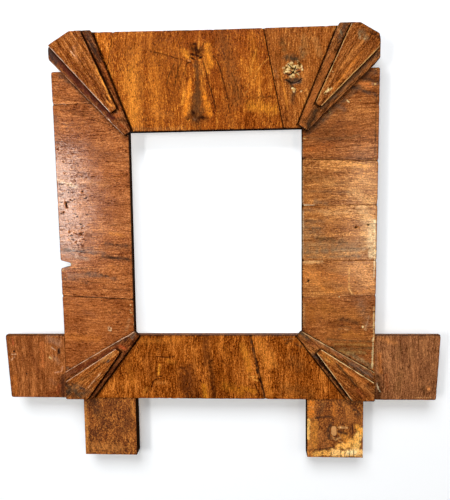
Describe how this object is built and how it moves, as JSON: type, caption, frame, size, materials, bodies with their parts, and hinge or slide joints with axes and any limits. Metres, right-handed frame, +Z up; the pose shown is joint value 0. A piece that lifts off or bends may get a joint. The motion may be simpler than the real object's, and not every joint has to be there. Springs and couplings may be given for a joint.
{
  "type": "mirror frame",
  "caption": "Veneered wooden wall mirror frame with stacked wedges on its corners, side ears, feet, hanging rings and turn buttons for the pane.",
  "frame": {"origin": "centre of the sight opening, on the back plane of the frame that hangs towards the wall", "axes": "+X to the right as seen from the front, +Y backwards into the wall, +Z up"},
  "size_m": [0.5053, 0.0346, 0.4905],
  "materials": {
    "ground": "stained softwood, raw and worn on the feet and the back",
    "walnut_rails": "old wax over crossbanded walnut veneer",
    "walnut_uprights": "old wax over crossbanded walnut veneer, scuffed",
    "walnut_ears": "old wax over walnut veneer",
    "dark_wedges": "dark stained hardwood, polished",
    "light_wedges": "waxed walnut with worn pale edges",
    "pegs": "end grain, dirty",
    "hanger_brass": "tarnished sheet brass",
    "button_brass": "tarnished cast brass",
    "iron": "dark oxidised iron wire and screws"
  },
  "bodies": {
    "frame": {"top_rail": "ground", "bottom_rail": "ground", "left_stile": "ground", "right_stile": "ground", "top_veneer_left": "walnut_rails", "top_veneer_middle": "walnut_rails", "top_veneer_right": "walnut_rails", "bottom_veneer_left": "walnut_rails", "bottom_veneer_right": "walnut_rails", "left_veneer_upper": "walnut_uprights", "left_veneer_middle": "walnut_uprights", "left_veneer_lower": "walnut_uprights", "right_veneer_1": "walnut_uprights", "right_veneer_2": "walnut_uprights", "right_veneer_3": "walnut_uprights", "right_veneer_4": "walnut_uprights", "right_veneer_5": "walnut_uprights", "left_ear_veneer": "walnut_ears", "right_ear_veneer": "walnut_ears", "wedge_base_top_left": "dark_wedges", "wedge_base_top_right": "dark_wedges", "wedge_base_bottom_left": "dark_wedges", "wedge_base_bottom_right": "dark_wedges", "wedge_cap_top_left": "light_wedges", "wedge_cap_top_right": "light_wedges", "wedge_cap_bottom_left": "light_wedges", "wedge_cap_bottom_right": "light_wedges", "lap_pegs": "pegs", "foot_plug": "pegs", "hanger_plate_left": "hanger_brass", "hanger_plate_right": "hanger_brass", "button_screws": "button_brass", "hanger_screws": "iron"},
    "hanger_ring_left": {"hanger_ring_left": "iron"},
    "hanger_ring_right": {"hanger_ring_right": "iron"},
    "turn_button_upper_left": {"turn_button_upper_left": "button_brass"},
    "turn_button_upper_right": {"turn_button_upper_right": "button_brass"},
    "turn_button_lower_left": {"turn_button_lower_left": "button_brass"},
    "turn_button_lower_right": {"turn_button_lower_right": "button_brass"}
  },
  "joints": [
    {"name": "hanger_swing_left", "type": "hinge", "parent": "frame", "child": "hanger_ring_left", "pos_m": [-0.062, 0.0046, 0.2015], "axis": [1, 0, 0], "range_deg": [0, 180]},
    {"name": "hanger_swing_right", "type": "hinge", "parent": "frame", "child": "hanger_ring_right", "pos_m": [0.062, 0.0046, 0.2015], "axis": [1, 0, 0], "range_deg": [0, 180]},
    {"name": "button_turn_upper_left", "type": "hinge", "parent": "frame", "child": "turn_button_upper_left", "pos_m": [-0.1155, 0.0015, 0.062], "axis": [0, 1, 0], "continuous": true},
    {"name": "button_turn_upper_right", "type": "hinge", "parent": "frame", "child": "turn_button_upper_right", "pos_m": [0.1155, 0.0015, 0.062], "axis": [0, 1, 0], "continuous": true},
    {"name": "button_turn_lower_left", "type": "hinge", "parent": "frame", "child": "turn_button_lower_left", "pos_m": [-0.1155, 0.0015, -0.062], "axis": [0, 1, 0], "continuous": true},
    {"name": "button_turn_lower_right", "type": "hinge", "parent": "frame", "child": "turn_button_lower_right", "pos_m": [0.1155, 0.0015, -0.062], "axis": [0, 1, 0], "continuous": true}
  ]
}
